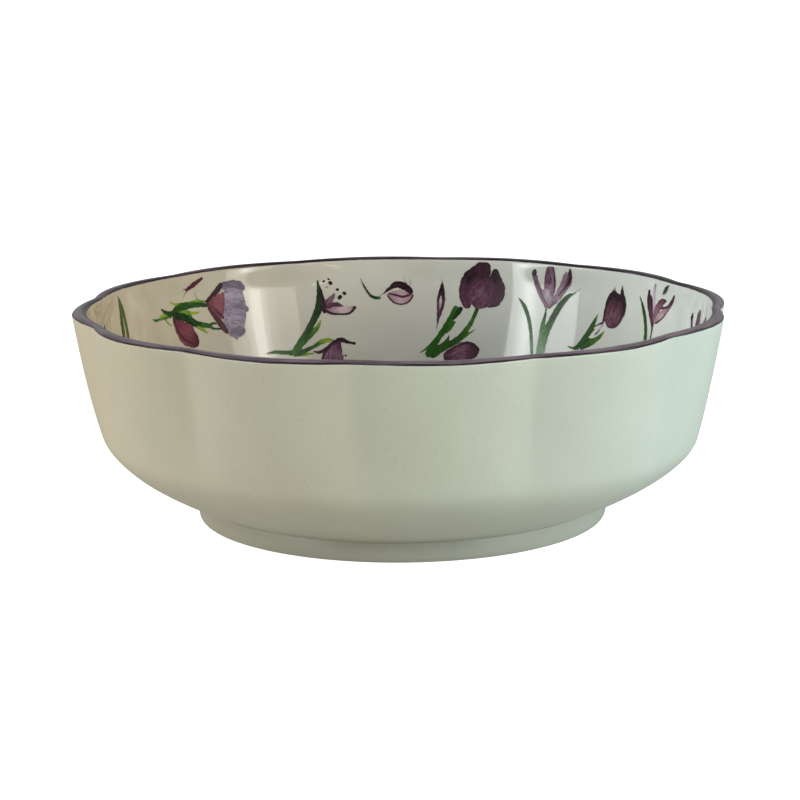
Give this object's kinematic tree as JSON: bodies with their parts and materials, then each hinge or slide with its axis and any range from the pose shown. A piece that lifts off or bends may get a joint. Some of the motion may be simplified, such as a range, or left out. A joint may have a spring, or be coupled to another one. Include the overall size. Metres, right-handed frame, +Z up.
{
  "type": "porcelain serving bowl",
  "caption": "Lobed porcelain serving bowl on a foot ring, celadon outside and ivory inside, with a painted plum rim and tulip and crocus transfers.",
  "frame": {"origin": "centre of the foot ring's resting face, on the table", "axes": "+Z up along the bowl's axis; -Y is the front, the side the picture is taken from, and +X is to its right"},
  "size_m": [0.2388, 0.2388, 0.0785],
  "materials": {
    "white_porcelain": "fired porcelain, satin where unglazed",
    "celadon_glaze": "pale celadon glaze, soft gloss",
    "ivory_glaze": "ivory glaze, high gloss",
    "rim_enamel": "hand-painted grey-plum enamel, glossy",
    "plum_enamel": "printed plum and green enamel, glossy",
    "lilac_enamel": "printed lilac and sage enamel, glossy",
    "leaf_enamel": "printed leaf-green enamel, glossy"
  },
  "bodies": {
    "root": {"bowl_body": "white_porcelain", "foot_ring": "white_porcelain", "outer_glaze": "celadon_glaze", "base_glaze": "celadon_glaze", "inner_glaze": "ivory_glaze", "rim_band": "rim_enamel", "leaf_pair_1": "leaf_enamel", "lying_tulip_1": "plum_enamel", "starry_crocus_1": "plum_enamel", "horned_tulip_1": "plum_enamel", "curl_bud_1": "plum_enamel", "slim_bud_1": "plum_enamel", "great_tulip_1": "plum_enamel", "low_bud_1": "plum_enamel", "open_crocus_1": "lilac_enamel", "dark_tulip_1": "plum_enamel", "plum_crocus_1": "plum_enamel", "open_crocus_2": "lilac_enamel", "curl_bud_2": "plum_enamel", "leaf_pair_2": "leaf_enamel", "lying_tulip_2": "plum_enamel", "starry_crocus_2": "plum_enamel", "horned_tulip_2": "plum_enamel", "curl_bud_3": "plum_enamel", "slim_bud_2": "plum_enamel", "great_tulip_2": "plum_enamel", "low_bud_2": "plum_enamel", "open_crocus_3": "lilac_enamel", "dark_tulip_2": "plum_enamel", "plum_crocus_2": "plum_enamel", "dark_tulip_3": "plum_enamel", "slim_bud_3": "plum_enamel", "great_tulip_3": "plum_enamel", "plum_crocus_3": "plum_enamel", "curl_bud_4": "plum_enamel"}
  },
  "joints": []
}
